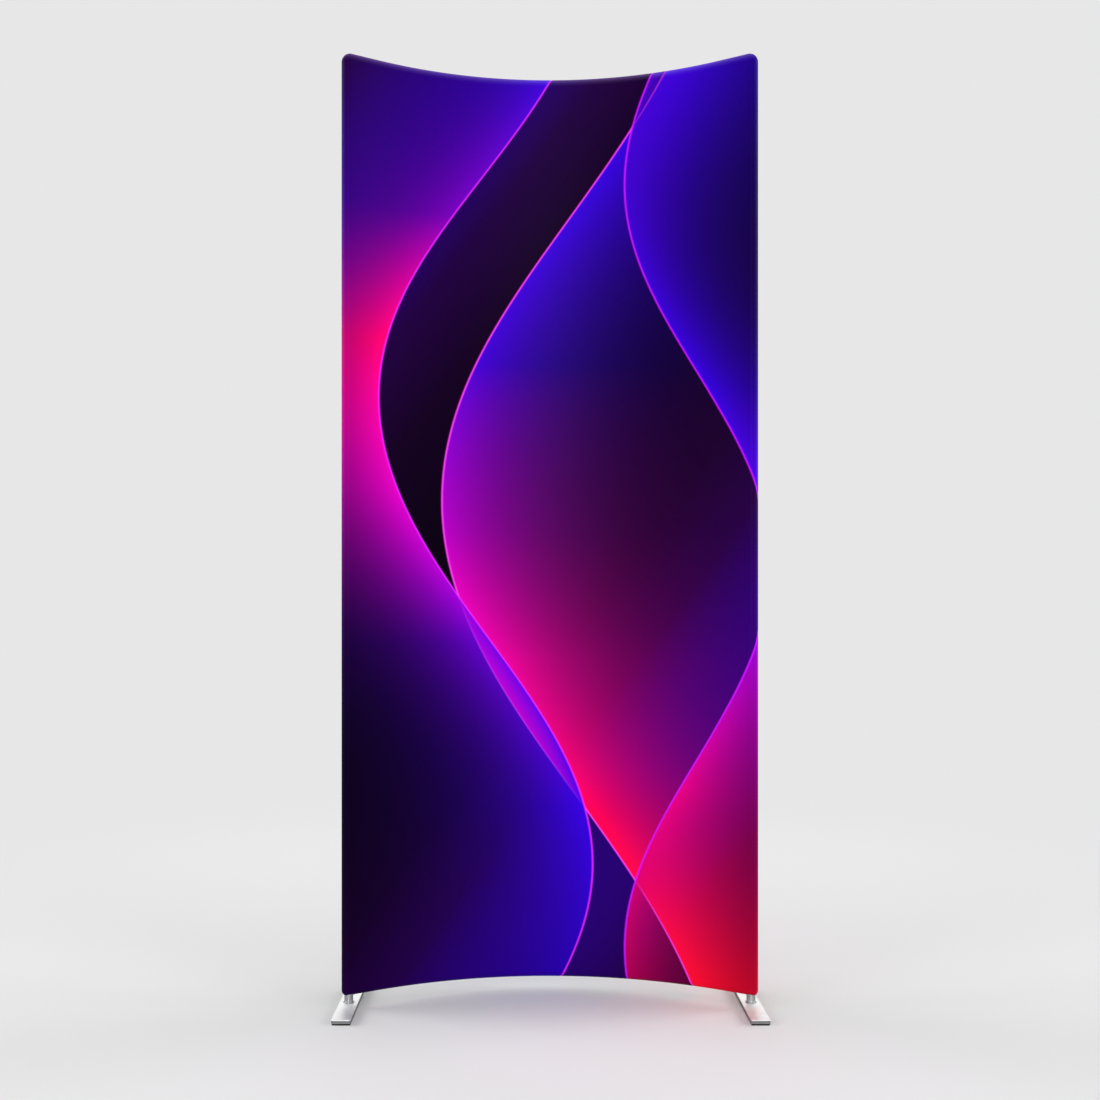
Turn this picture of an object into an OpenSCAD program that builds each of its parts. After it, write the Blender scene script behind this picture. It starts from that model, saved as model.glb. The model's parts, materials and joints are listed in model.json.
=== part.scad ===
// Curved tension-fabric backwall: a tube frame inside a zipped fabric cover, on two flat feet.
//
// The frame is two straight uprights, each in two sections, and three rolled rails: top, bottom
// and crossbar. Elbows are riveted to the top and bottom rails and plug into the uprights, where
// sprung buttons lock them. The cover is drawn over the frame like a pillowcase and closed by a
// zip low on its back. Each foot is a steel bar with a post that turns in the bottom elbow.
//
// Millimetres. +X is right, +Y is back and +Z is up, seen by someone facing the concave front.
// The origin is on the floor, at the middle of the object's width and depth.

/* [Panel] */
// Straight-line width over the fabric
panel_w = 1000; // [700:10:1500]
// Height of the top of the fabric above the floor
panel_top = 2290; // [1600:10:2600]
// Gap between the floor and the fabric
floor_gap = 30; // [24:1:60]
// Angle through which each rail is rolled
rail_bend = 55; // [20:1:80]
// Extra corner radius that the top corners have beyond the tube's own
top_corner_bend = 5; // [1:1:12]

/* [Tube frame] */
// Outer diameter of every tube
tube_d = 32; // [30:1:40]
// Wall of every tube
tube_wall = 1.5; // [1.2:0.1:2]
// Straight length left at each end of a rolled rail
rail_end = 46; // [44:1:90]
// Height of the joint between the two sections of an upright
join_z = 1100; // [800:10:1300]
// Length of the reduced end that plugs into the upper section
swage_l = 75; // [60:1:110]
// Distance of the crossbar below that joint
crossbar_drop = 62; // [60:1:200]

/* [Connectors] */
// Reach of an elbow or socket body from the upright's axis
elbow_arm = 24; // [22:1:36]
// Length of the elbow spigot inside a rail
rail_spigot_l = 42; // [38:1:44]
// Length of the elbow spigot inside an upright
upright_spigot_l = 70; // [66:1:90]
// Reach of the crossbar socket's body from the upright's axis
socket_arm = 28; // [26:1:32]
// Length of the crossbar socket's spigot
socket_spigot_l = 40; // [38:1:42]
// Gap between a spigot and the tube around it
spigot_gap = 0.15; // [0.05:0.05:0.3]
// Radius of the bore that holds a snap spring
spring_bore_r = 11.4; // [11:0.1:11.6]
// Thickness of the socket's saddle
saddle_t = 3.4; // [2.5:0.1:4]
// Height of the socket's saddle
saddle_h = 76; // [72:1:90]

/* [Snap buttons] */
// Radius of a button
button_r = 4; // [3:0.1:4.5]
// Height of a button above the tube
button_proud = 1.4; // [1:0.1:2.5]
// Radial gap around a button in its holes
button_gap = 0.2; // [0.1:0.05:0.4]
// Length of a snap spring's straight legs
spring_leg = 22; // [18:1:24]
// Width of a snap spring
spring_w = 8; // [6:0.5:9]
// Thickness of a snap spring
spring_t = 0.8; // [0.5:0.1:1]

/* [Rivets and screws] */
// Shank radius of a rail rivet
rivet_r = 1.6; // [1.2:0.1:2]
// Head radius of a rail rivet
rivet_head_r = 3.2; // [2.5:0.1:4]
// Shank radius of a saddle screw
saddle_screw_r = 1.9; // [1.5:0.1:2.5]
// Head radius of a saddle screw
saddle_screw_head_r = 3.5; // [3:0.1:4.5]

/* [Feet] */
// Width of a foot plate
foot_w = 45; // [38:1:80]
// Length of a foot plate
foot_l = 230; // [180:5:450]
// Thickness of a foot plate
foot_t = 8; // [6:0.5:10]
// Corner radius of a foot plate, seen from above
foot_corner_r = 4; // [2:0.5:10]
// Bevel round the top of a foot plate
foot_bevel = 1; // [0.5:0.1:1.5]
// Thickness of the rubber sheet under a foot
pad_t = 4; // [1.5:0.5:6]
// Distance that the rubber sheet is set in from the plate's edge
pad_inset = 1; // [0.5:0.5:4]
// Diameter of the post
post_d = 21; // [19:0.5:22]
// Length of the post above the bottom rail's axis
post_plug = 45; // [40:1:50]
// Diameter of the collar at the foot of the post
post_collar_d = 26; // [24:0.5:32]
// Height of that collar
post_collar_h = 2; // [1:0.5:4]
// Wall of the nylon cup that the post turns in
cup_wall = 1.8; // [1.4:0.1:2]
// Running gap between the post and the cup
cup_gap = 0.06; // [0.03:0.01:0.1]
// Radius of the screw that holds the post to the plate
foot_screw_r = 4; // [3:0.5:5]
// Length of that screw
foot_screw_l = 25; // [18:1:35]

/* [Fabric cover] */
// Thickness of the fabric
cover_t = 0.7; // [0.6:0.1:1.2]
// Gap between the fabric and the frame
cover_gap = 0.3; // [0.2:0.05:0.5]
// Gap between a post and the opening in the fabric
post_opening_gap = 1; // [0.5:0.1:3]
// Height of the zip above the bottom of the fabric
zip_rise = 52; // [48:1:90]
// Distance along the back between the zip and each end of the rolled part
zip_margin = 24; // [20:1:120]
// Half the height of the slot that the zip fills
zip_slot_half = 10; // [8:0.5:14]
// Half the height of the closed teeth
teeth_half = 2.9; // [2:0.1:3.5]
// Thickness of the teeth
teeth_t = 2.2; // [1.6:0.1:2.6]
// Height of the teeth above the fabric
teeth_proud = 0.6; // [0.4:0.1:0.8]
// Half the slit between the two rows of teeth
teeth_slit = 0.5; // [0.4:0.1:0.8]
// Length of the zip slider
slider_l = 11; // [9:0.5:14]
// Half the height of the zip slider
slider_half = 5.5; // [4:0.5:7]
// Length of the pull tab
pull_l = 24; // [16:1:30]
// Width of the pull tab
pull_w = 5; // [4:0.5:5.5]

/* [Hidden] */
round_fn = 64;
arc_fn = 256;
$fn = round_fn;
eps = 0.01;

// The straight ends of what is rolled are this much slimmer, and reach this far into it.
end_step = 0.05;
end_lap = 1;

tube_r = tube_d / 2;
tube_ir = tube_r - tube_wall;
spigot_r = tube_ir - spigot_gap;
swage_ir = spigot_r - tube_wall;

cover_ir = tube_r + cover_gap;
cover_or = cover_ir + cover_t;

half_bend = rail_bend / 2;
post_x = panel_w / 2 - cover_or;
leg = elbow_arm + rail_end;
rail_r = (post_x - leg * cos(half_bend)) / sin(half_bend);
curve_depth = rail_r * (1 - cos(half_bend)) + leg * sin(half_bend);

// The depth is centred between the front of the feet and the back of the panel or of the feet.
back_reach = max(curve_depth + cover_or + teeth_proud, foot_l / 2);
post_y = (foot_l / 2 - back_reach) / 2;
bend_y = post_y + curve_depth - rail_r;

top_z = panel_top - cover_or;
bottom_z = floor_gap + cover_or;
crossbar_z = join_z - crossbar_drop;
zip_z = floor_gap + zip_rise;
plate_z = pad_t;
plate_top = pad_t + foot_t;

// Snap buttons: how far each stands from the mouth of its spigot, and its flange and travel.
button_back = 16;
flange_r = button_r + 1;
flange_t = 1.2;
flange_gap = 0.25;
button_reach = tube_r + button_proud;
hole_r = button_r + button_gap;
spring_seat_gap = 0.15;
spring_touch = 0.1;
blind_depth = 6;

lower_button_z = bottom_z + elbow_arm + upright_spigot_l - button_back;
upper_button_z = top_z - elbow_arm - upright_spigot_l + button_back;
join_button_z = join_z + swage_l - 2 * button_back;
socket_button_back = 14;
socket_button_x = socket_arm + socket_spigot_l - socket_button_back;

// Two rivets sit in each elbow's rail spigot, at these distances from the upright's axis.
rivet_edge = 10;
rivet_pitch = 20;
rivet_x = [for (k = [0, 1]) elbow_arm + rivet_edge + k * rivet_pitch];
rivet_head_h = 1;
shank_gap = 0.1;
rivet_hole_r = rivet_r + shank_gap;
saddle_gap = 0.1;
saddle_r = tube_r + saddle_gap;
saddle_half_angle = 48;
saddle_screw_edge = 10;
saddle_screw_rise = saddle_h / 2 - saddle_screw_edge;
saddle_screw_head_h = 2;
saddle_hole_r = saddle_screw_r + shank_gap;
head_lift = 0.02;

post_r = post_d / 2;
post_top = bottom_z + post_plug;
cup_ir = post_r + cup_gap;
cup_or = cup_ir + cup_wall;
cup_seat_gap = 0.04;
cup_bore_r = cup_or + cup_seat_gap;
cup_end_t = 3;
cup_foot = 0.2;
foot_screw_gap = 0.2;
foot_screw_head_r = 2 * foot_screw_r;
foot_screw_hole_r = foot_screw_r + foot_screw_gap;
foot_screw_thread_r = foot_screw_r + foot_screw_gap / 2;
pad_hole_gap = 1;
pad_hole_r = foot_screw_head_r + pad_hole_gap;

// Zip: all of it turns about the rails' bend axis, so the slider keeps its gaps along the curve.
back_face = rail_r + cover_or;
teeth_out = back_face + teeth_proud;
teeth_in = teeth_out - teeth_t;
wing_t = 1.4;
wing_gap = 0.3;
stop_l = 3;
stop_rise = 0.4;
zip_end_angle = 0.1;
function turn(distance) = distance / back_face * 180 / PI;
zip_half = half_bend - turn(zip_margin);
stop_angle = turn(stop_l);
slot_angle = zip_half + stop_angle + zip_end_angle;
slider_angle = turn(slider_l);
slider_rest = zip_half - slider_angle / 2 - zip_end_angle;
web_gap = 0.2;
web_half = teeth_slit - web_gap;
bail_r = 0.8;
bail_gap = 0.1;
bail_post_t = 1.4;
bail_side_gap = 1 - bail_post_t / 2;
knuckle_r = 1.9;
bail_lift = 2.3;
pull_t = 1.2;
bail_centre = teeth_out + wing_gap + wing_t + bail_lift;

SIDES = ["left", "right"];

// ---------------------------------------------------------------- places

// Everything on one side is drawn for the left and mirrored for the right.
module on_side(side) {
    if (side == "left") children();
    else mirror([1, 0, 0]) children();
}

// At the left upright: local +X runs along the rail to the middle, local -Y is the front.
module at_upright(z = 0) {
    translate([-post_x, post_y, z]) rotate([0, 0, half_bend]) children();
}

// About the rails' bend axis: x is the distance from the axis.
module about_bend(from, to) {
    translate([0, bend_y, 0]) rotate([0, 0, 90 - to])
        rotate_extrude(angle = to - from, $fn = arc_fn) children();
}

// Turns a profile so that its x is local +Y, its y is +Z, and it is drawn out along local +X.
module along_rail(from, to) {
    translate([from, 0, 0]) rotate([90, 0, 90]) linear_extrude(to - from) children();
}

// ---------------------------------------------------------------- profiles

module ring(r_out, r_in) {
    difference() {
        circle(r_out, $fn = round_fn);
        circle(r_in, $fn = round_fn);
    }
}

module quarter_ring(r_out, r_in) {
    intersection() {
        ring(r_out, r_in);
        square(r_out + 1);
    }
}

module rounded_rect(w, l, r) {
    square([w - 2 * r, l], center = true);
    square([w, l - 2 * r], center = true);
    for (x = [-1, 1], y = [-1, 1])
        translate([x * (w / 2 - r), y * (l / 2 - r)]) circle(r);
}

// ---------------------------------------------------------------- tube frame

// A rolled tube at height z, whose straight ends start at this distance from the uprights.
module rolled_tube(z, start) {
    about_bend(-half_bend, half_bend) translate([rail_r, z]) ring(tube_r, tube_ir);
    for (side = SIDES) on_side(side) at_upright(z)
        along_rail(start, leg + end_lap) ring(tube_r - end_step, tube_ir + end_step);
}

// A riveted rail. inward is -1 where the panel lies below the rail, and 1 where it lies above.
module riveted_rail(z, inward) {
    color("silver") difference() {
        rolled_tube(z, elbow_arm);
        for (side = SIDES, x = rivet_x) on_side(side) at_upright(z) translate([x, 0, 0])
            scale_z(inward) cylinder(r = rivet_hole_r, h = tube_r + 1);
    }
}

// Flips what points up to point down, where way is -1.
module scale_z(way) {
    if (way < 0) mirror([0, 0, 1]) children();
    else children();
}

module crossbar() {
    color("silver") difference() {
        rolled_tube(crossbar_z, socket_arm);
        for (side = SIDES) on_side(side) at_upright(crossbar_z)
            translate([socket_button_x, 0, 0]) cylinder(r = hole_r, h = tube_r + 1);
    }
}

// A hole for a snap button, from the tube's axis out towards the middle of the panel.
module button_hole(z) {
    translate([0, 0, z]) rotate([0, 90, 0]) cylinder(r = hole_r, h = tube_r + 1);
}

module upright_lower() {
    shoulder = 4;
    color("silver") at_upright() difference() {
        rotate_extrude() polygon([
            [tube_ir, bottom_z + elbow_arm], [tube_r, bottom_z + elbow_arm],
            [tube_r, join_z], [spigot_r, join_z], [spigot_r, join_z + swage_l],
            [swage_ir, join_z + swage_l], [swage_ir, join_z - shoulder / 2],
            [tube_ir, join_z - shoulder]
        ]);
        button_hole(lower_button_z);
        button_hole(join_button_z);
        for (way = [-1, 1]) translate([0, 0, crossbar_z + way * saddle_screw_rise])
            rotate([0, 90, 0]) cylinder(r = saddle_hole_r, h = tube_r + 1);
    }
}

module upright_upper() {
    color("silver") at_upright() difference() {
        translate([0, 0, join_z]) linear_extrude(top_z - elbow_arm - join_z)
            ring(tube_r, tube_ir);
        button_hole(join_button_z);
        button_hole(upper_button_z);
    }
}

// ---------------------------------------------------------------- connectors

// The body of an elbow that turns from the rail (+X) to the upright (-Z) on this bend radius.
module elbow_body(bend) {
    translate([bend, 0, -bend]) rotate([90, 0, 0]) rotate([0, 0, 90])
        rotate_extrude(angle = 90) intersection() {
            translate([bend, 0]) circle(tube_r);
            translate([0, -tube_r]) square([bend + tube_r, 2 * tube_r]);
        }
    translate([0, 0, -elbow_arm]) cylinder(r = tube_r, h = elbow_arm - bend);
    translate([bend, 0, 0]) rotate([0, 90, 0]) cylinder(r = tube_r, h = elbow_arm - bend);
}

// A top elbow at its own corner. Its upright spigot points down; the bottom one is its mirror.
module elbow(bend) {
    mouth = elbow_arm + upright_spigot_l;
    difference() {
        union() {
            elbow_body(bend);
            translate([0, 0, -mouth]) cylinder(r = spigot_r, h = upright_spigot_l + 1);
            translate([elbow_arm - 1, 0, 0]) rotate([0, 90, 0])
                cylinder(r = spigot_r, h = rail_spigot_l + 1);
        }
        translate([0, 0, -mouth - 1])
            cylinder(r = spring_bore_r, h = upright_spigot_l + 1 - blind_depth);
        translate([elbow_arm + blind_depth, 0, 0]) rotate([0, 90, 0])
            cylinder(r = spring_bore_r, h = rail_spigot_l);
        button_hole(button_back - mouth);
        for (x = rivet_x) translate([x, 0, -tube_r - 1])
            cylinder(r = rivet_hole_r, h = tube_r + 1);
    }
}

module elbow_top() {
    color("dimgray") at_upright(top_z) elbow(top_corner_bend);
}

// The bottom elbow also has the stepped bore for the post's cup.
module elbow_bottom() {
    color("dimgray") at_upright(bottom_z) difference() {
        mirror([0, 0, 1]) elbow(0);
        translate([0, 0, -tube_r - 1])
            cylinder(r = cup_bore_r, h = tube_r + 1 + post_plug + cup_end_t);
        cylinder(r = spring_bore_r, h = elbow_arm + upright_spigot_l);
    }
}

// The saddle screwed to the upright, with the spigot that carries the crossbar.
module crossbar_socket() {
    color("dimgray") at_upright(crossbar_z) difference() {
        union() {
            rotate([0, 0, -saddle_half_angle]) translate([0, 0, -saddle_h / 2])
                rotate_extrude(angle = 2 * saddle_half_angle)
                    translate([saddle_r, 0]) square([saddle_t, saddle_h]);
            translate([saddle_r + saddle_t / 2, 0, 0]) rotate([0, 90, 0])
                cylinder(r = spigot_r, h = socket_arm + socket_spigot_l - saddle_r - saddle_t / 2);
            translate([saddle_r + saddle_t, 0, 0]) rotate([0, 90, 0])
                cylinder(r = tube_r, h = socket_arm - saddle_r - saddle_t);
        }
        translate([socket_arm + 2, 0, 0]) rotate([0, 90, 0])
            cylinder(r = spring_bore_r, h = socket_spigot_l);
        translate([socket_button_x, 0, 0]) cylinder(r = hole_r, h = tube_r + 1);
        for (way = [-1, 1]) translate([0, 0, way * saddle_screw_rise])
            rotate([0, 90, 0]) cylinder(r = saddle_hole_r, h = tube_r + 10);
    }
}

// ---------------------------------------------------------------- snap buttons

// The distance from the bore's axis at which a button's flange meets the bore.
function flange_face(bore_r) = sqrt(bore_r ^ 2 - flange_r ^ 2) - flange_gap;

// A button on the axis of its bore, pointing along +X.
module snap_button(bore_r) {
    bevel = 1;
    face = flange_face(bore_r);
    color("gainsboro") rotate([0, 90, 0]) rotate_extrude() polygon([
        [0, face - flange_t], [flange_r, face - flange_t], [flange_r, face], [button_r, face],
        [button_r, button_reach - bevel], [button_r - bevel, button_reach], [0, button_reach]
    ]);
}

// Its spring: a leaf bent to a U, one leg under the button and the other against the bore.
module snap_spring(bore_r) {
    near = flange_face(bore_r) - flange_t - spring_touch;
    far = spring_seat_gap - sqrt(bore_r ^ 2 - (spring_w / 2) ^ 2);
    bend = (near - far) / 2;
    color("slategray") translate([0, spring_w / 2, -spring_leg / 2]) rotate([90, 0, 0])
        linear_extrude(spring_w) {
            intersection() {
                translate([near - bend, 0]) ring(bend, bend - spring_t);
                translate([far, -bend]) square([2 * bend, bend]);
            }
            for (x = [far, near - spring_t]) translate([x, 0]) square([spring_t, spring_leg]);
        }
}

// The four places on one side that have a button. Local +X is the button's way out,
// and local +Z points to the mouth of the spigot.
module at_button(place) {
    if (place == "bottom") at_upright(lower_button_z) children();
    if (place == "join") at_upright(join_button_z) children();
    if (place == "top") at_upright(upper_button_z) mirror([0, 0, 1]) children();
    if (place == "crossbar") at_upright(crossbar_z) translate([socket_button_x, 0, 0])
        mirror([1, 0, 0]) rotate([0, -90, 0]) children();
}

function bore_at(place) = place == "join" ? swage_ir : spring_bore_r;
PLACES = ["top", "join", "bottom", "crossbar"];

module snap_springs() {
    for (side = SIDES, place = PLACES) on_side(side) at_button(place)
        snap_spring(bore_at(place));
}

// ---------------------------------------------------------------- rivets and screws

// A domed rivet on the axis of its tube, pointing up, that holds the elbow's spigot in the rail.
module rivet() {
    dome = 0.4;
    tail = 1;
    translate([0, 0, spring_bore_r - tail])
        cylinder(r = rivet_r, h = tube_r + rivet_head_h / 2 - spring_bore_r + tail);
    translate([0, 0, tube_r + head_lift]) {
        cylinder(r = rivet_head_r, h = rivet_head_h - dome);
        translate([0, 0, rivet_head_h - dome])
            cylinder(r1 = rivet_head_r, r2 = rivet_head_r - 2 * dome, h = dome);
    }
}

module rail_rivets() {
    color("gainsboro") for (side = SIDES, x = rivet_x) on_side(side) {
        at_upright(top_z) translate([x, 0, 0]) mirror([0, 0, 1]) rivet();
        at_upright(bottom_z) translate([x, 0, 0]) rivet();
    }
}

// A pan-head screw through the saddle into the upright, with a square drive.
module saddle_screw() {
    seat = saddle_r + saddle_t + head_lift;
    drive = 1.6;
    tail = 2;
    rotate([0, 90, 0]) difference() {
        union() {
            translate([0, 0, tube_ir - tail])
                cylinder(r = saddle_screw_r, h = seat + saddle_screw_head_h / 2 - tube_ir + tail);
            translate([0, 0, seat]) cylinder(r = saddle_screw_head_r, h = saddle_screw_head_h);
        }
        translate([0, 0, seat + saddle_screw_head_h]) cube([drive, drive, 2], center = true);
    }
}

module saddle_screws() {
    color("gainsboro") for (side = SIDES, way = [-1, 1])
        on_side(side) at_upright(crossbar_z + way * saddle_screw_rise) saddle_screw();
}

// ---------------------------------------------------------------- feet

// The nylon cup in the bottom elbow, open below, that the post turns in and bears on.
module post_cup() {
    foot = bottom_z - sqrt(tube_r ^ 2 - cup_bore_r ^ 2) + cup_foot;
    color("white") at_upright() difference() {
        translate([0, 0, foot]) cylinder(r = cup_or, h = bottom_z + post_plug + cup_end_t - foot);
        translate([0, 0, foot - 1]) cylinder(r = cup_ir, h = bottom_z + post_plug - foot + 1);
    }
}

module foot_post() {
    bevel = 1.5;
    color("lightgray") translate([-post_x, post_y, plate_top]) difference() {
        union() {
            cylinder(d = post_collar_d, h = post_collar_h);
            cylinder(r = post_r, h = post_top - plate_top - bevel);
            translate([0, 0, post_top - plate_top - bevel])
                cylinder(r1 = post_r, r2 = post_r - bevel, h = bevel);
        }
        translate([0, 0, -1]) cylinder(r = foot_screw_thread_r, h = foot_screw_l);
    }
}

// A flat bar with rounded corners and a bevel round its top, countersunk from below.
module foot_plate() {
    low = foot_t - foot_bevel;
    function section(size) = [
        [-size / 2, 0], [size / 2, 0], [size / 2, low], [size / 2 - foot_bevel, foot_t],
        [foot_bevel - size / 2, foot_t], [-size / 2, low]
    ];
    color("silver") translate([-post_x, post_y, plate_z]) difference() {
        union() {
            rotate([90, 0, 0]) linear_extrude(foot_l - 2 * foot_corner_r, center = true)
                polygon(section(foot_w));
            rotate([90, 0, 90]) linear_extrude(foot_w - 2 * foot_corner_r, center = true)
                polygon(section(foot_l));
            for (x = [-1, 1], y = [-1, 1])
                translate([x * (foot_w / 2 - foot_corner_r), y * (foot_l / 2 - foot_corner_r), 0]) {
                    cylinder(r = foot_corner_r, h = low);
                    translate([0, 0, low])
                        cylinder(r1 = foot_corner_r, r2 = foot_corner_r - foot_bevel, h = foot_bevel);
                }
        }
        translate([0, 0, -1]) cylinder(r = foot_screw_hole_r, h = foot_t + 2);
        translate([0, 0, -eps]) cylinder(
            r1 = foot_screw_head_r + foot_screw_gap + eps, r2 = foot_screw_hole_r,
            h = foot_screw_head_r + foot_screw_gap + eps - foot_screw_hole_r);
    }
}

module foot_screw() {
    head_h = foot_screw_head_r - foot_screw_r;
    socket_r = foot_screw_r * 0.72;
    color("gainsboro") translate([-post_x, post_y, plate_z]) difference() {
        union() {
            cylinder(r1 = foot_screw_head_r, r2 = foot_screw_r, h = head_h);
            translate([0, 0, head_h]) cylinder(r = foot_screw_r, h = foot_screw_l - head_h);
        }
        translate([0, 0, -1]) cylinder(r = socket_r, h = head_h, $fn = 6);
    }
}

module foot_pad() {
    color("black") translate([-post_x, post_y, 0]) linear_extrude(pad_t) difference() {
        rounded_rect(foot_w - 2 * pad_inset, foot_l - 2 * pad_inset, foot_corner_r - pad_inset / 2);
        circle(pad_hole_r);
    }
}

// ---------------------------------------------------------------- fabric cover

// Upright profile of one face of the cover. x is the distance from the frame's mid surface,
// and the fabric lies between the two radii.
module cover_profile(r_out, r_in) {
    translate([r_in, bottom_z]) square([r_out - r_in, top_z - bottom_z]);
    translate([0, top_z]) quarter_ring(r_out, r_in);
    translate([0, bottom_z]) mirror([0, 1]) quarter_ring(r_out, r_in);
}

// A rounded corner of one face, about local +Y, on this bend radius.
module cover_corner(bend, r_out, r_in) {
    rotate_extrude(angle = 90) {
        if (bend > 0) translate([0, r_in]) square([bend, r_out - r_in]);
        translate([bend, 0]) quarter_ring(r_out, r_in);
    }
}

// The left end of the back face, from the rolled part round the upright to its seam.
module cover_end() {
    r_out = cover_or - end_step;
    r_in = cover_ir + end_step;
    bend = top_corner_bend;
    along_rail(bend, leg + end_lap) cover_profile(r_out, r_in);
    translate([0, 0, bottom_z]) linear_extrude(top_z - bend - bottom_z) {
        translate([0, r_in]) square([bend, r_out - r_in]);
        mirror([1, 0]) quarter_ring(r_out, r_in);
    }
    along_rail(0, bend) translate([0, bottom_z]) mirror([0, 1]) quarter_ring(r_out, r_in);
    translate([bend, 0, top_z - bend]) rotate([-90, 0, 0]) rotate([0, 0, 180])
        cover_corner(bend, r_out, r_in);
    translate([0, 0, bottom_z]) rotate([-90, 0, 0]) rotate([0, 0, 90])
        cover_corner(0, r_out, r_in);
}

module post_openings() {
    for (side = SIDES) on_side(side) translate([-post_x, post_y, 0])
        cylinder(r = post_r + post_opening_gap, h = bottom_z);
}

module cover_front() {
    color("mediumblue") difference() {
        union() {
            about_bend(-half_bend, half_bend)
                translate([rail_r, 0]) mirror([1, 0]) cover_profile(cover_or, cover_ir);
            for (side = SIDES) on_side(side) at_upright() mirror([0, 1, 0]) cover_end();
        }
        post_openings();
    }
}

module cover_back() {
    color("indigo") difference() {
        union() {
            about_bend(-half_bend, half_bend)
                translate([rail_r, 0]) cover_profile(cover_or, cover_ir);
            for (side = SIDES) on_side(side) at_upright() cover_end();
        }
        post_openings();
        about_bend(-slot_angle, slot_angle)
            translate([rail_r + cover_ir - 1, zip_z - zip_slot_half])
                square([cover_t + 2, 2 * zip_slot_half]);
    }
}

// ---------------------------------------------------------------- zip

// The tape above or below the teeth. way is 1 above and -1 below.
module zip_tape(way) {
    color("midnightblue") about_bend(-slot_angle, slot_angle)
        translate([rail_r + cover_ir, zip_z + (way < 0 ? -zip_slot_half : teeth_half)])
            square([cover_t, zip_slot_half - teeth_half]);
}

module zip_teeth(way) {
    color("midnightblue") about_bend(-zip_half, zip_half)
        translate([teeth_in, zip_z + (way < 0 ? -teeth_half : teeth_slit)])
            square([teeth_t, teeth_half - teeth_slit]);
}

module zip_stops() {
    stop_half = teeth_half - 0.1;
    color("silver") for (side = SIDES) on_side(side)
        about_bend(-zip_half - stop_angle, -zip_half) translate([teeth_in, zip_z - stop_half])
            square([teeth_t + stop_rise, 2 * stop_half]);
}

// At the slider: local +X leads out from the back of the panel, +Z is up.
module at_slider() {
    translate([0, bend_y, zip_z]) rotate([0, 0, 90 - slider_rest]) children();
}

// Two wings over and under the teeth, a web between them in the slit, and a bail outside.
module zip_slider() {
    from = slider_rest - slider_angle / 2;
    inner = teeth_in - wing_gap - wing_t;
    outer = teeth_out + wing_gap;
    root = outer + wing_t / 2;
    color("silver") {
        about_bend(from, from + slider_angle) {
            for (r = [inner, outer]) translate([r, zip_z - slider_half])
                square([wing_t, 2 * slider_half]);
        }
        about_bend(slider_rest + slider_angle / 6, from + slider_angle)
            translate([inner + wing_t / 2, zip_z - web_half])
                square([outer - inner, 2 * web_half]);
        at_slider() {
            for (way = [0, 1]) mirror([0, way, 0])
                translate([root, pull_w / 2 + bail_side_gap, -bail_r])
                    cube([bail_centre - root + bail_r, bail_post_t, 2 * bail_r]);
            translate([bail_centre, 0, 0]) rotate([90, 0, 0])
                cylinder(r = bail_r, h = pull_w + 2 * bail_side_gap + bail_post_t, center = true);
        }
    }
}

// The tab hangs from a knuckle round the bail.
module zip_pull() {
    color("silver") at_slider() translate([bail_centre, 0, 0]) difference() {
        union() {
            rotate([90, 0, 0]) cylinder(r = knuckle_r, h = pull_w, center = true);
            translate([-pull_t / 2, -pull_w / 2, pull_w / 2 - pull_l])
                cube([pull_t, pull_w, pull_l - pull_w / 2]);
            translate([-pull_t / 2, 0, pull_w / 2 - pull_l]) rotate([0, 90, 0])
                cylinder(d = pull_w, h = pull_t);
        }
        rotate([90, 0, 0]) cylinder(r = bail_r + bail_gap, h = pull_w + 2, center = true);
    }
}

// ---------------------------------------------------------------- nodes

cover_front();
cover_back();
riveted_rail(top_z, -1);  // top_rail
riveted_rail(bottom_z, 1);  // bottom_rail
crossbar();
for (s = SIDES) on_side(s) {
    upright_lower();
    upright_upper();
    elbow_top();
    elbow_bottom();
    crossbar_socket();
    for (p = PLACES) at_button(p) snap_button(bore_at(p));
    post_cup();
    foot_plate();
    foot_post();
    foot_screw();
    foot_pad();
}
snap_springs();
rail_rivets();
saddle_screws();
zip_tape(1);  // zip_tape_upper
zip_tape(-1);  // zip_tape_lower
zip_teeth(1);  // zip_teeth_upper
zip_teeth(-1);  // zip_teeth_lower
zip_stops();
zip_slider();
zip_pull();
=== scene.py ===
# %% [markdown]
# # Dressing a curved fabric backwall
#
# The real thing is a tube frame with a printed stretch cover drawn over it like a pillowcase, on two
# flat steel feet. The CAD frame already holds every tube, elbow, button and screw in its true place,
# so this lesson adds what a solid can't show: taut cloth with its seam and its print, a coil zip,
# rounded metal edges, and a finish for each part. The first step is to load the frame, because every
# size below is read from it or follows from it.

# %% Load the frame
import json
import math

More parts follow.
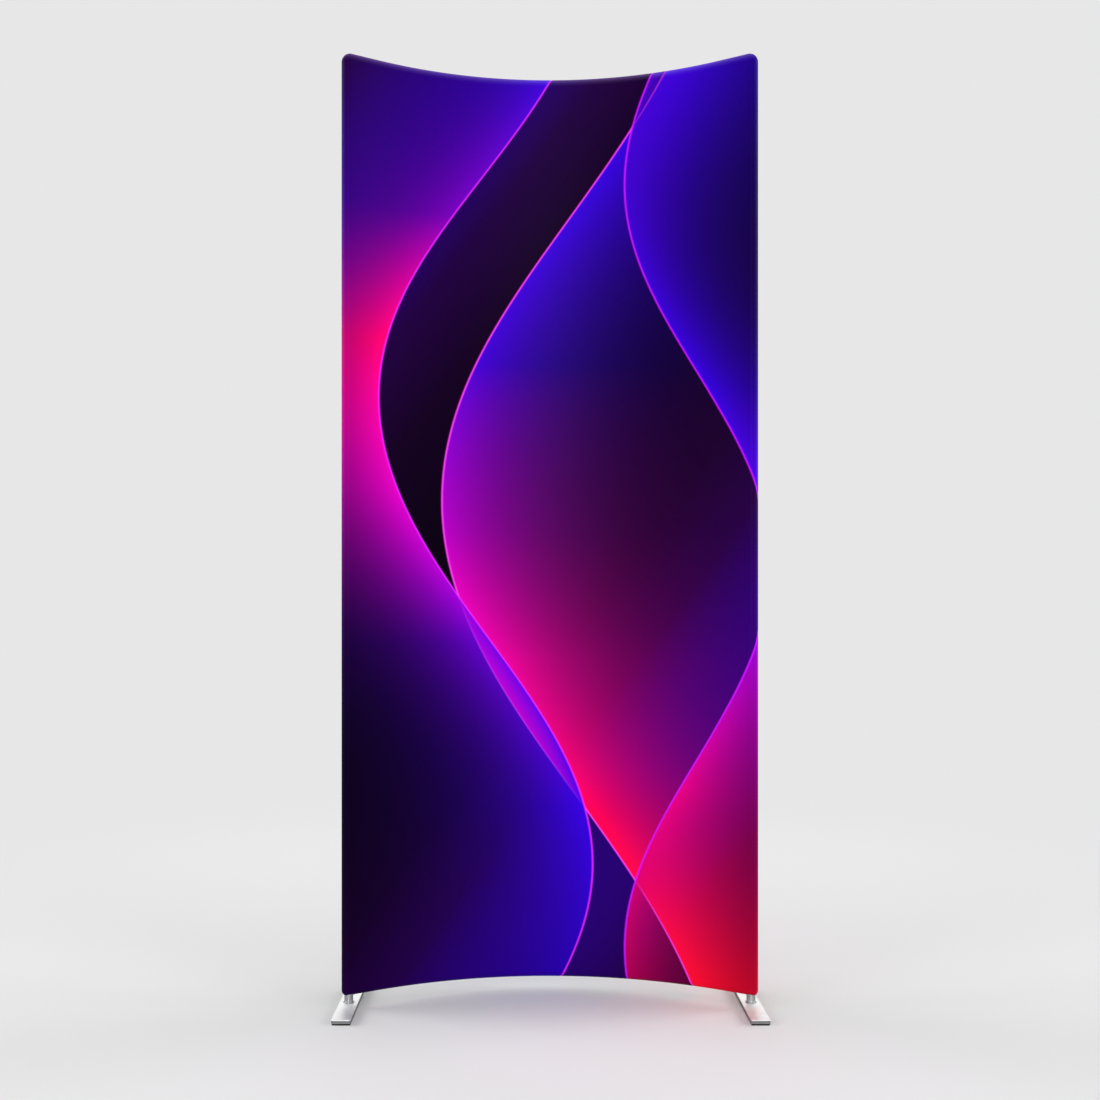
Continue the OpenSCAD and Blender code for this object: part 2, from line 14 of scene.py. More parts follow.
import bpy
import numpy as np
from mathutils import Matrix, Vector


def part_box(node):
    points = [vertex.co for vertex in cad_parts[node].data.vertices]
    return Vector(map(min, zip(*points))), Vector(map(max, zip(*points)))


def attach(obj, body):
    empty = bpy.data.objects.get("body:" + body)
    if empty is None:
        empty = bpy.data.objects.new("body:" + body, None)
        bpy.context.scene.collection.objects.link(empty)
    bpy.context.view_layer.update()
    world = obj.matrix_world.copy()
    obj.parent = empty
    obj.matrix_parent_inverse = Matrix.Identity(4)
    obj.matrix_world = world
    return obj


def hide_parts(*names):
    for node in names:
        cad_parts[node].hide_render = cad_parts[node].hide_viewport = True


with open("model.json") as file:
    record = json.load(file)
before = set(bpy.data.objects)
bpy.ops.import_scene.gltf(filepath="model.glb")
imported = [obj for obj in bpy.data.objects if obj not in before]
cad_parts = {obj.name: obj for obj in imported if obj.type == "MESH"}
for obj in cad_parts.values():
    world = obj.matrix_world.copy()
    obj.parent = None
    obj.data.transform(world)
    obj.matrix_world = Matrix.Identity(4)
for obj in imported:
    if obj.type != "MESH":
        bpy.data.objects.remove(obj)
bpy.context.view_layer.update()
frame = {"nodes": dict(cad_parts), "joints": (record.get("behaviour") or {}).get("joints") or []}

# %% [markdown]
# ## The wall's own geometry
#
# The wall is bent in plan: a circular arc with a short straight leg at each end. All the cloth lies a
# fixed distance in front of or behind one mid curve, so one function turns a distance along that
# curve, a distance behind it and a height into a point. A Simple Deform modifier could bend a flat
# sheet too, but it bends about its own axis and keeps no straight legs.

# %% Sizes read from the frame, in metres
post_low, post_high = (np.array(corner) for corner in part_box("foot_post_left"))
cloth_low, cloth_high = (np.array(corner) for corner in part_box("cover_front"))
post_x, post_y = -(post_low + post_high)[0] / 2, (post_low + post_high)[1] / 2
cloth_bottom, cloth_top = float(cloth_low[2]), float(cloth_high[2])
cover_radius = 0.017
opening_radius = 0.0115
half_bend = math.radians(27.5)
leg = 0.070
bend_radius = (post_x - leg * math.cos(half_bend)) / math.sin(half_bend)
curve_depth = bend_radius * (1 - math.cos(half_bend)) + leg * math.sin(half_bend)
bend_y = post_y + curve_depth - bend_radius
post_s = bend_radius * half_bend + leg
half_length = post_s + cover_radius
print(f"arc radius {bend_radius:.4f} m, depth {curve_depth:.4f} m, half length {half_length:.4f} m")


def on_wall(s, d, z):
    """Points s metres along the mid curve from its middle, d metres behind it and z metres up.
    Within the arc a point is at radius R + d and angle s / R. Past it, the straight leg goes on
    along the tangent for what is left of s."""
    angle = np.clip(s / bend_radius, -half_bend, half_bend)
    rest = s - angle * bend_radius
    x = (bend_radius + d) * np.sin(angle) + rest * np.cos(angle)
    y = bend_y + (bend_radius + d) * np.cos(angle) - rest * np.sin(angle)
    return np.stack(np.broadcast_arrays(x, y, z), -1)


# %% [markdown]
# ## From arrays to objects
#
# Each new piece starts as numpy arrays: a block of points and the faces between them. Blender takes
# them in one call, far quicker than one vertex at a time. The object stays at the origin with its
# place in its mesh, as the CAD nodes are, so a pattern that reads Object coordinates sits still when
# the model is exported.

# %% Grids and mesh objects
def grid_faces(rows, columns, wrap_rows=False, wrap_columns=False):
    """The four-cornered faces of a grid whose point in row i and column j is number i * columns + j.
    A wrapped direction joins its last line to its first."""
    i = np.arange(rows if wrap_rows else rows - 1)[:, None]
    j = np.arange(columns if wrap_columns else columns - 1)[None, :]
    i_next, j_next = (i + 1) % rows, (j + 1) % columns
    corners = [i * columns + j, i * columns + j_next, i_next * columns + j_next, i_next * columns + j]
    return np.stack([c.ravel() for c in corners], axis=1)


def full_turn(count):
    """That many even angles from 0, the last one short of a whole turn."""
    return np.linspace(0, 2 * math.pi, count, endpoint=False)


def make_piece(name, points, *face_blocks, uv=None, crease=40):
    """A mesh object from an (n, 3) array of points and arrays of faces. Faces that meet at more than
    crease degrees stay sharp. uv gives each point its place on the flat cloth, in metres."""
    mesh = bpy.data.meshes.new(name)
    faces = [face for block in face_blocks for face in block.tolist()]
    mesh.from_pydata(points.reshape(-1, 3).tolist(), [], faces)
    if uv is not None:
        corner_points = np.empty(len(mesh.loops), np.int32)
        mesh.loops.foreach_get("vertex_index", corner_points)
        layer = mesh.uv_layers.new(name="Cloth")
        layer.data.foreach_set("uv", uv.reshape(-1, 2)[corner_points].astype(np.float32).ravel())
    mesh.polygons.foreach_set("use_smooth", np.ones(len(mesh.polygons), bool))
    mesh.set_sharp_from_angle(angle=math.radians(crease))
    obj = bpy.data.objects.new(name, mesh)
    bpy.context.scene.collection.objects.link(obj)
    return obj


def settle(obj):
    """Applies the modifiers, so that the finished mesh is what rides on the frame."""
    bpy.context.view_layer.update()
    graph = bpy.context.evaluated_depsgraph_get()
    finished = bpy.data.meshes.new_from_object(
        obj.evaluated_get(graph), preserve_all_data_layers=True, depsgraph=graph)
    obj.modifiers.clear()
    obj.data = finished
    print(f"{obj.name}: {len(finished.vertices)} points, {len(finished.polygons)} faces")
    return obj


# %% [markdown]
# ## Shader helpers
#
# Colours are given as sRGB hex values, but a shader works in linear light, so one function
# turns them over. A second one adds a node, sets it and links it. The rest are short names for the
# nodes that come back most often, and keep a material readable as a list of steps.

# %% Colours, nodes and a bare material
def linear(colour):
    """A hex colour in linear light. Below 0.04045 a channel is divided by 12.92; above it, it is
    ((c + 0.055) / 1.055) to the power 2.4."""
    c = np.array([int(colour[i:i + 2], 16) for i in (1, 3, 5)]) / 255
    light = np.where(c <= 0.04045, c / 12.92, ((c + 0.055) / 1.055) ** 2.4)
    return (*light.tolist(), 1.0)


def add(tree, kind, inputs=None, out=0, stops=None, **settings):
    """Adds a shader node and returns its output out. An input is a value, or an output to link.
    stops are a colour ramp's places and hex colours."""
    node = tree.nodes.new("ShaderNode" + kind)
    for name, value in settings.items():
        setattr(node, name, value)
    for socket, value in (inputs or {}).items():
        if isinstance(value, bpy.types.NodeSocket):
            tree.links.new(value, node.inputs[socket])
        else:
            node.inputs[socket].default_value = value
    for k, (place, colour) in enumerate(stops or []):
        ramp = node.color_ramp.elements
        element = ramp[k] if k < 2 else ramp.new(place)
        element.position, element.color = place, linear(colour)
    return node.outputs[out]


def calc(tree, operation, *values):
    """A Math node that works on the values in turn."""
    return add(tree, "Math", dict(enumerate(values)), operation=operation)


def mix(tree, share, under, over):
    """Lays a share of one colour over another."""
    return add(tree, "Mix", {0: share, 6: under, 7: over}, out=2, data_type="RGBA")


def remap(tree, value, low, high, start=0.0, end=1.0):
    """Turns the range from start to end into the one from low to high, and holds it there."""
    return add(tree, "MapRange", {"Value": value, "From Min": start, "From Max": end,
                                  "To Min": low, "To Max": high})


def noise(tree, place, scale, detail):
    """A cloudy pattern of about scale clouds to the metre."""
    return add(tree, "TexNoise", {"Vector": place, "Scale": scale, "Detail": detail})


def bands(tree, place, period, direction="X", more=None):
    """Soft bands, one every period metres. A wave texture's scale is 2 pi / period / 20."""
    inputs = {"Vector": place, "Scale": 2 * math.pi / period / 20, **(more or {})}
    return add(tree, "TexWave", inputs, out=1, bands_direction=direction)


def sine_lines(tree, place, axis, period):
    """Lines across one axis: sin(2 pi x / period)."""
    across = add(tree, "SeparateXYZ", {0: place}, out=axis)
    return calc(tree, "SINE", calc(tree, "MULTIPLY", across, 2 * math.pi / period))


def new_material(name, **sockets):
    """A material with one Principled shader, whose constant sockets are set on the shader itself."""
    material = bpy.data.materials.new(name)
    material.use_nodes = True
    shader = material.node_tree.nodes["Principled BSDF"]
    for socket, value in sockets.items():
        shader.inputs[socket.replace("_", " ")].default_value = value
    return material, material.node_tree, shader


def finish(tree, shader, tone, rough, height=None, strength=0.0, depth=0.0):
    """Gives a shader its colour, its roughness and, where there is a height, a bump."""
    tree.links.new(tone, shader.inputs["Base Color"])
    tree.links.new(rough, shader.inputs["Roughness"])
    if height is not None:
        bump = add(tree, "Bump", {"Height": height, "Strength": strength, "Distance": depth})
        tree.links.new(bump, shader.inputs["Normal"])


def patterned(name, pattern, stops, rough, bump=(), **sockets):
    """A material made of patterns. pattern(tree) gives what the tone follows, what the roughness
    follows, and the height. stops are the tone's, rough is (least, most), bump (strength, depth)."""
    material, tree, shader = new_material(name, **sockets)
    for_tone, for_rough, height = pattern(tree)
    tone = add(tree, "ValToRGB", {"Fac": for_tone}, stops=stops)
    finish(tree, shader, tone, remap(tree, for_rough, *rough), height, *bump)
    return material


def wear(obj, material):
    """Puts one material on a piece, or on a CAD node in place of its own."""
    obj.data.materials.clear()
    obj.data.materials.append(material)


# %% [markdown]
# ## The cover's shape
#
# The cover is two panels of stretch knit, sewn together all round the edge of the wall. Seen face on,
# the outline is a tall rectangle with rounded corners, tighter at the bottom. Across the edge the
# cloth turns over the tube as a half circle. A box with a bevel would give the roundings, but not the
# curved plan, the seam or the pull of the cloth, so the sheet is a grid whose lines bunch together
# towards the edge.
#
# Pulled over a curved frame, knit can't stay a true cylinder. On the hollow side it lifts a few
# millimetres off the curve, and on the full side it sinks a little between the rails and the
# crossbar.

# %% Lines of the grid
top_corner, bottom_corner = 0.022, 0.012
seam_draw, front_lift, back_sink, cloth_thick = 0.0005, 0.006, 0.004, 0.00045
turn = np.radians([0, 1.5, 3, 5.5, 9, 14, 20, 27, 35, 43, 51, 59, 66])
edge_lines = np.concatenate([
    cover_radius * (1 - np.cos(turn)), [bottom_corner, 0.0144, 0.017, 0.0195, top_corner, 0.027, 0.034]])


def lines_between(stops, step):
    """Places from the first stop to the last, no further apart than step, with each stop among them."""
    parts = [np.linspace(a, b, math.ceil((b - a) / step) + 1) for a, b in zip(stops, stops[1:])]
    return np.unique(np.concatenate(parts).round(7))


zip_z = float(sum(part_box("zip_slider")[k][2] for k in (0, 1)) / 2)
back_radius = bend_radius + cover_radius
slot_s = bend_radius * math.asin(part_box("zip_tape_upper")[1][0] / back_radius)
slot_half = float(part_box("zip_tape_upper")[1][2]) - zip_z
crossbar_z = float(sum(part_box("crossbar")[k][2] for k in (0, 1)) / 2)
inner_s = half_length - edge_lines[-1]
along = np.unique(np.concatenate([
    edge_lines - half_length, lines_between([-inner_s, -slot_s, slot_s, inner_s], 0.012),
    half_length - edge_lines]).round(7))
up = np.unique(np.concatenate([
    cloth_bottom + edge_lines,
    lines_between([cloth_bottom + edge_lines[-1], zip_z - slot_half, zip_z + slot_half,
                   cloth_top - edge_lines[-1]], 0.016),
    cloth_top - edge_lines]).round(7))
print("grid lines along and up:", len(along), len(up))


# %% The two halves of the cover
def round_corner(s, z, centre_s, centre_z, radius, way):
    """Turns the square block at a corner into a quarter disc. With p and q the shares of the block's
    width and height, the point goes to radius max(p, q), and its angle grows evenly along that line."""
    p = np.clip((np.abs(s) - centre_s) / radius, 0, 1)
    q = np.clip(way * (z - centre_z) / radius, 0, 1)
    inside = (p > 0) & (q > 0)
    reach = np.maximum(p, q)
    near = np.minimum(p, q) / np.where(reach > 0, reach, 1) * math.pi / 4
    angle = np.where(p >= q, near, math.pi / 2 - near)
    s = np.where(inside, np.sign(s) * (centre_s + radius * reach * np.cos(angle)), s)
    return s, np.where(inside, centre_z + way * radius * reach * np.sin(angle), z)


def cloth_points(side):
    """The outer surface of one face of the cover; side is -1 in front and 1 behind. At a distance t
    in from the outline, the cloth stands sqrt(r^2 - (r - t)^2) off the mid curve, with r the cover's
    radius. The seam draws the last millimetre in by 0.5 mm, and tension lifts or sinks the middle."""
    s, z = np.meshgrid(along, up)
    s, z = round_corner(s, z, half_length - top_corner, cloth_top - top_corner, top_corner, 1)
    s, z = round_corner(s, z, half_length - bottom_corner, cloth_bottom + bottom_corner, bottom_corner, -1)
    middle, half_height = (cloth_top + cloth_bottom) / 2, (cloth_top - cloth_bottom) / 2
    radius = np.where(z > middle, top_corner, bottom_corner)
    p, q = np.abs(s) - half_length + radius, np.abs(z - middle) - half_height + radius
    t = radius - np.minimum(np.maximum(p, q), 0) - np.hypot(np.maximum(p, 0), np.maximum(q, 0))
    t = np.clip(t, 0, cover_radius)
    off = np.sqrt(cover_radius ** 2 - (cover_radius - t) ** 2)
    far = np.hypot(np.maximum(p, 0), np.maximum(q, 0)) + 1e-9
    inward_s = np.where((p > 0) & (q > 0), p / far, p >= q) * -np.sign(s)
    inward_z = np.where((p > 0) & (q > 0), q / far, p < q) * -np.sign(z - middle)
    draw = seam_draw * np.exp(-(off / 0.0011) ** 2)
    across = np.clip(1 - (s / post_s) ** 2, 0, 1)
    low, high = cloth_bottom + 2 * cover_radius, cloth_top - 2 * cover_radius
    if side < 0:
        rise = np.sin(math.pi * np.clip((z - low) / (high - low), 0, 1)) ** 0.8
        pull = front_lift * across * rise
    else:
        below = np.clip((z - low - 0.05) / (crossbar_z - low - 0.05), 0, 1)
        above = np.clip((z - crossbar_z) / (high - crossbar_z), 0, 1)
        pull = -back_sink * across * (np.sin(math.pi * below) + np.sin(math.pi * above))
    turned = cover_radius * np.arcsin(np.clip((np.abs(s) - post_s) / cover_radius, 0, 1))
    u = np.sign(s) * (np.minimum(np.abs(s), post_s) * (1 + side * cover_radius / bend_radius) + turned)
    edge = np.abs(z - middle) - half_height + cover_radius
    v = z + np.sign(z - middle) * np.where(
        edge > 0, cover_radius * np.arcsin(np.clip(edge / cover_radius, 0, 1)) - edge, 0)
    points = on_wall(s + inward_s * draw, side * (off + pull), z + inward_z * draw)
    return points, np.stack([u, v], -1), s, z


def opening_cutter():
    """Two upright cylinders, one round each post and 1 mm clear of it, that cut the openings."""
    round_it = full_turn(64)
    rings = opening_radius * np.stack([np.cos(round_it), np.sin(round_it)], -1)
    points, blocks = [], []
    for k, way in enumerate((-1, 1)):
        walls = [np.column_stack([rings + (way * post_x, post_y), np.full(64, h)]) for h in (0.0, 0.045)]
        points += walls
        wall = grid_faces(2, 64, wrap_columns=True) + 128 * k
        blocks += [wall, (np.arange(63, -1, -1) + 128 * k)[None], (np.arange(64) + 128 * k + 64)[None]]
    return make_piece("opening_cutter", np.concatenate(points), *blocks)


cutter = opening_cutter()
cover, flat_size = {}, {}
for face, side in (("front", -1), ("back", 1)):
    points, uv, s, z = cloth_points(side)
    faces = grid_faces(*s.shape)
    if side > 0:
        slot = (np.abs(s) < slot_s) & (np.abs(z - zip_z) < slot_half)
        edge_of_slot = (np.abs(s) < slot_s + 1e-5) & (np.abs(z - zip_z) < slot_half + 1e-5)
        faces = faces[~edge_of_slot.ravel()[faces].all(axis=1)][:, ::-1]
    piece = make_piece("printed_cover_" + face, points, faces, uv=uv)
    hollow = piece.modifiers.new("Cloth thickness", "SOLIDIFY")
    hollow.thickness, hollow.offset = cloth_thick, -1
    cut = piece.modifiers.new("Post openings", "BOOLEAN")
    cut.operation, cut.object, cut.solver = "DIFFERENCE", cutter, "EXACT"
    cover[face] = settle(piece)
    flat_size[face] = tuple(float(np.ptp(uv[..., k])) for k in (0, 1))
    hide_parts("cover_" + face)
    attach(piece, "frame")
bpy.data.objects.remove(cutter)
print("flat sizes:", {face: [round(x, 3) for x in size] for face, size in flat_size.items()})

# %% [markdown]
# ## The print
#
# A wall like this carries a full-height picture, printed by dye sublimation: ink is pressed hot into
# white polyester, so the colour is in the yarn and has no film of its own. The design here is a plain
# one of sine waves. Each has a fine bright line and a glow that dies away on one side of it, over a
# slow wash from near-black plum to indigo. An image texture would be the usual way. Worked out from
# the cloth's own UV map in metres, the design needs no file, stays sharp at any distance, and
# stretches with the cloth.

# %% Waves as shader nodes
ground_stops = [(0, "#08000e"), (0.4, "#12001e"), (0.75, "#1e003a"), (1, "#24006c")]
waves = [
    dict(centre=0.08, swing=0.35, length=3.0, start=2.15, side=1, reach=0.165, strength=1.0, line="#ff40f4",
         stops=[(0, "#ff1020"), (0.2, "#ff0050"), (0.36, "#ff00a8"), (0.5, "#b000bc"), (0.68, "#4000cc"),
                (1, "#2c00d8")]),
    dict(centre=-0.16, swing=0.27, length=2.3, start=0.7, side=-1, reach=0.12, strength=1.0, line="#e028ff",
         stops=[(0, "#2400a0"), (0.2, "#3400dc"), (0.38, "#6c00d8"), (0.54, "#dc00c0"), (0.7, "#ff0070"),
                (0.84, "#7400b4"), (1, "#3000d0")]),
    dict(centre=0.37, swing=-0.18, length=1.9, start=1.2, side=1, reach=0.092, strength=0.9, line="#c818ff",
         stops=[(0, "#b00048"), (0.22, "#e80080"), (0.43, "#5c00d4"), (0.65, "#3600e0"), (1, "#4400b8")]),
]


def print_wave(tree, colour, u, v, centre, swing, length, start, side, reach, strength, line, stops):
    """Lays one wave over a colour. The wave's edge is centre + swing * sin(2 pi v / length + start).
    At a distance t past it the glow's share is strength * exp(-t / reach), and the line's is a narrow
    bell, 4 mm wide, which is as thin as the print can show at this distance."""
    turns = calc(tree, "MULTIPLY_ADD", v, 2 * math.pi / length, start)
    edge = calc(tree, "MULTIPLY_ADD", calc(tree, "SINE", turns), swing, centre)
    away = calc(tree, "SUBTRACT", u, edge)
    past = calc(tree, "MULTIPLY", away, side)
    on_side = remap(tree, past, 0.0, 1.0, -0.0006, 0.0006)
    fading = calc(tree, "MINIMUM", calc(tree, "MULTIPLY", past, -1 / reach), 0.0)
    share = calc(tree, "MULTIPLY", calc(tree, "EXPONENT", fading), on_side)
    share = calc(tree, "MULTIPLY", share, strength)
    glow = add(tree, "ValToRGB", {"Fac": calc(tree, "DIVIDE", v, 2.3)}, stops=stops)
    colour = mix(tree, share, colour, glow)
    bell = calc(tree, "MULTIPLY", away, 1 / 0.0022)
    bell = calc(tree, "MULTIPLY", calc(tree, "MULTIPLY", bell, bell), -1.0)
    bell = calc(tree, "MULTIPLY", calc(tree, "EXPONENT", bell), 0.85)
    return mix(tree, bell, colour, linear(line))


# %% [markdown]
# ## The cloth under the print
#
# Display knit is a smooth warp-knit polyester of about 250 grams a square metre. It is dull face on,
# where the picture shows deep, clean colour, and gleams only where it turns over an edge, so its
# specular level is low. The colour is painted a little darker in the valleys of the knit and lighter
# on its ribs, which is painted shade and light. Along the top, where the cloth turns over the top
# rail, a pale violet is painted over the print: a painted highlight where the rounding faces the
# light from above. The ribs are 0.6 mm apart on the real cloth, and 1.8 mm here, because finer ones
# would vanish between the pixels.

# %% Dye-sublimated polyester knit
def printed_knit(name, squeeze):
    """The cover's cloth. The back is cut wider than the front, so there the design's width is
    multiplied by a little less than 1, and every wave meets itself at the side seams."""
    material, tree, shader = new_material(name, Specular_IOR_Level=0.015)
    place = add(tree, "UVMap", uv_map="Cloth")
    u = calc(tree, "MULTIPLY", add(tree, "SeparateXYZ", {0: place}, out=0), squeeze)
    v = add(tree, "SeparateXYZ", {0: place}, out=1)
    slope = calc(tree, "MULTIPLY_ADD", u, -0.55 * 2 * math.pi, 1.2)
    slope = calc(tree, "MULTIPLY_ADD", v, 0.42 * 2 * math.pi, slope)
    wash = calc(tree, "MULTIPLY_ADD", calc(tree, "SINE", slope), 0.5, 0.5)
    colour = add(tree, "ValToRGB", {"Fac": wash}, stops=ground_stops)
    for wave in waves:
        colour = print_wave(tree, colour, u, v, **wave)
    # Painted highlight: a pale violet over the top 23.5 mm of the cloth, strongest at the top edge, where
    # the rounding faces the light from above.
    painted_top_highlight = calc(tree, "POWER", remap(tree, v, 0.0, 1.0, cloth_top - 0.0235, cloth_top), 2.0)
    colour = mix(tree, calc(tree, "MULTIPLY", painted_top_highlight, 0.22), colour, linear("#cba0ff"))
    ribs = bands(tree, place, 0.0018, "X", {"Distortion": 0.6, "Detail": 1.0, "Detail Scale": 2.0})
    rows = bands(tree, place, 0.0024, "Y", {"Distortion": 0.4, "Detail": 1.0})
    nap = noise(tree, place, 900.0, 2.0)
    height = calc(tree, "MULTIPLY_ADD", nap, 0.6, calc(tree, "ADD", ribs, rows))
    # Painted shade and light: the knit's height scales the colour, darker in the valleys and lighter on the
    # ribs.
    painted_knit_shading = remap(tree, height, 0.86, 1.14, 0.0, 2.4)
    colour = add(tree, "VectorMath", {0: colour, "Scale": painted_knit_shading}, operation="SCALE")
    finish(tree, shader, colour, remap(tree, nap, 0.36, 0.50), height, 0.25, 0.00006)
    return material


wear(cover["front"], printed_knit("dye_sublimated_knit_front", 1))
wear(cover["back"], printed_knit("dye_sublimated_knit_back", flat_size["front"][0] / flat_size["back"][0]))

# %% [markdown]
# ## The zip
#
# The cover goes on through a slit low on its back, closed by a coil zip: two woven tapes, and on the
# edge of each a nylon monofilament wound into a flat coil. A chain like this can be made with an
# Array and a Curve modifier. Here all the coils come from one formula, which puts some 600 rings of
# forty faces in each row at once and bends them with the wall.

# %% Coils and tapes
teeth_proud = 0.0006
zip_half = bend_radius * math.asin(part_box("zip_teeth_upper")[1][0] / (back_radius + teeth_proud))
coil_pitch = 0.0014


def coil(name, way):
    """One row of coil turns; way is 1 above the slit and -1 below. Each turn is a ring of wire, an
    ellipse 2.2 mm deep and 2.6 mm high over all that leans by half a turn, and each row is offset
    from the other by half a turn, as meshed teeth are. The rows leave 0.7 mm for the slider's web."""
    count = int(2 * zip_half / coil_pitch) - 1
    middle = ((np.arange(count) + 0.75 + 0.25 * way) * coil_pitch - zip_half)[:, None, None]
    round_ring = full_turn(10)[None, :, None]
    round_wire = full_turn(4)[None, None, :]
    wire = 0.00036
    swell = wire * np.cos(round_wire)
    d = 0.0165 + (0.00073 + swell) * np.cos(round_ring)
    z = zip_z + way * (0.00165 + (0.00094 + swell) * np.sin(round_ring))
    s = middle + wire * np.sin(round_wire) - way * 0.0005 * np.sin(round_ring)
    ring = grid_faces(10, 4, wrap_rows=True, wrap_columns=True)[:, ::way]
    faces = (ring[None] + 40 * np.arange(count)[:, None, None]).reshape(-1, 4)
    return make_piece(name, on_wall(s, d, z), faces, crease=180)


def carried(section, stations, height):
    """A closed section of (distance behind the mid curve, height) points, carried along the wall
    through the stations and closed by a flat face at each end."""
    s, k = np.meshgrid(stations, np.arange(len(section)), indexing="ij")
    points = on_wall(s, section[k, 0], height + section[k, 1])
    walls = grid_faces(len(stations), len(section), wrap_columns=True)
    last = (len(stations) - 1) * len(section)
    ends = np.stack([np.arange(len(section))[::-1], np.arange(len(section)) + last])
    return points, walls, ends, np.stack([s, section[k, 1]], -1)


def tape(name, way):
    """One woven tape, 13.6 mm wide and 0.4 mm thick with a rolled edge, from under the coil to well
    under the cloth, where the topstitching holds it."""
    near, far, thick = 0.0004, 0.0140, 0.0002
    section = np.array([(-thick, near), (thick, near), (thick * 1.6, near + 0.0004), (thick, near + 0.001),
                        (thick, far), (-thick, far), (-thick, near + 0.001), (-thick * 1.6, near + 0.0004)])
    section = section[::way] * (1, way) + (0.01630, 0)
    points, walls, ends, uv = carried(section, np.linspace(-slot_s - 0.006, slot_s + 0.006, 181), zip_z)
    return make_piece(name, points, walls, ends, uv=uv)


def closed_outwards(obj):
    """Turns a closed piece's faces outward when its volume, a sum of tetrahedra on the origin, comes
    out negative."""
    mesh = obj.data
    mesh.calc_loop_triangles()
    corner = np.empty(len(mesh.loop_triangles) * 3, np.int32)
    mesh.loop_triangles.foreach_get("vertices", corner)
    place = np.empty(len(mesh.vertices) * 3, np.float32)
    mesh.vertices.foreach_get("co", place)
    a, b, c = place.reshape(-1, 3).astype(float)[corner.reshape(-1, 3)].transpose(1, 0, 2)
    volume = float((a * np.cross(b, c)).sum() / 6)
    if volume < 0:
        mesh.flip_normals()
    print(f"{obj.name}: {abs(volume) * 1e6:.3f} cm3, turned round: {volume < 0}")
    return obj


zip_tape, zip_coil = {}, {}
for word, way in (("upper", 1), ("lower", -1)):
    zip_coil[word] = closed_outwards(coil("zip_coil_" + word, way))
    zip_tape[word] = closed_outwards(tape("zip_tape_woven_" + word, way))
    for piece, slot in ((zip_coil[word], "zip_teeth"), (zip_tape[word], "zip_tape")):
        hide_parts(f"{slot}_{word}")
        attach(piece, "frame")

# %% [markdown]
# ## The slider, its pull and the end stops
#
# The slider is a zinc casting: two wings joined by a web, which runs in the slit between the coils,
# and two ears with a pin, on which the pull's knuckle turns. A steel clip closes each end of the zip.
# Molten zinc doesn't fill a sharp corner, so nothing here has one. Bevelled copies of the CAD solids
# would keep their square outlines, so each plate is an outline carried through rings, which step in
# from the edge on a quarter circle. The pull's field is sunk inside a rim, so that it can be gripped.

# %% Plates with rounded edges
pin = np.array(next(joint for joint in frame["joints"] if joint["name"] == "zip_pull_swing")["pos_m"])
pin_angle = math.atan2(pin[0], pin[1] - bend_y)
pin_out = 1000 * (math.hypot(pin[0], pin[1] - bend_y) - bend_radius)
print(f"the pull's pin is {pin_out:.2f} mm behind the mid curve")


def slab(outline, rings, hollow=False):
    """A closed plate as (n, 3) points and face blocks, in millimetres. outline is a loop that runs
    anticlockwise, and rings are (inset, height) steps from the underside up: each is the outline
    moved in along its own normals. The ends are capped, or when hollow the last ring joins the first."""
    ahead = np.roll(outline, -1, axis=0) - np.roll(outline, 1, axis=0)
    normals = np.stack([ahead[:, 1], -ahead[:, 0]], -1) / np.linalg.norm(ahead, axis=1, keepdims=True)
    points = np.concatenate([np.column_stack([outline - inset * normals, np.full(len(outline), height)])
                             for inset, height in rings])
    first = np.arange(len(outline))
    walls = grid_faces(len(rings), len(outline), wrap_rows=hollow, wrap_columns=True)
    caps = np.stack([first[::-1], first + len(points) - len(outline)])
    return points, [walls] if hollow else [walls, caps]


def casting(name, *shells):
    """One piece from closed shells. Each is a slab, the directions that its three columns run in, and
    its angle along the wall: out is behind the mid curve, along is along the wall, up is above the
    zip. A column order that turns the same way as (along, out, up) keeps the faces outward."""
    places, blocks, count = [], [], 0
    for (points, faces), order, angle in shells:
        out, along_wall, above = (0.001 * points[:, order.split().index(word)]
                                  for word in ("out", "along", "up"))
        x = (bend_radius + out) * math.sin(angle) + along_wall * math.cos(angle)
        y = bend_y + (bend_radius + out) * math.cos(angle) - along_wall * math.sin(angle)
        places.append(np.stack([x, y, zip_z + above], -1))
        blocks += [block + count for block in faces]
        count += len(points)
    return closed_outwards(make_piece(name, np.concatenate(places), *blocks, crease=50))


def soft_box(half_a, half_b, power=4, steps=72):
    """A loop between a box and an ellipse: |a / half_a| ^ power + |b / half_b| ^ power = 1."""
    t = full_turn(steps)
    return np.stack([half * np.sign(part) * np.abs(part) ** (2 / power)
                     for half, part in ((half_a, np.cos(t)), (half_b, np.sin(t)))], -1)


def arc(centre_a, centre_b, radius, start, end, steps=6):
    """Points of an arc, from one angle to another in degrees."""
    t = np.radians(np.linspace(start, end, steps))
    return np.stack([centre_a + radius * np.cos(t), centre_b + radius * np.sin(t)], -1)


def round_edges(low, high, radius):
    """Rings of a plate from low to high, whose edges are quarter circles of that radius."""
    a = np.radians(np.linspace(0, 90, 5))
    steps = np.stack([radius - radius * np.sin(a), radius - radius * np.cos(a)], -1)
    return [*(steps + (0, low)).tolist(), *(steps * (1, -1) + (0, high))[::-1].tolist()]


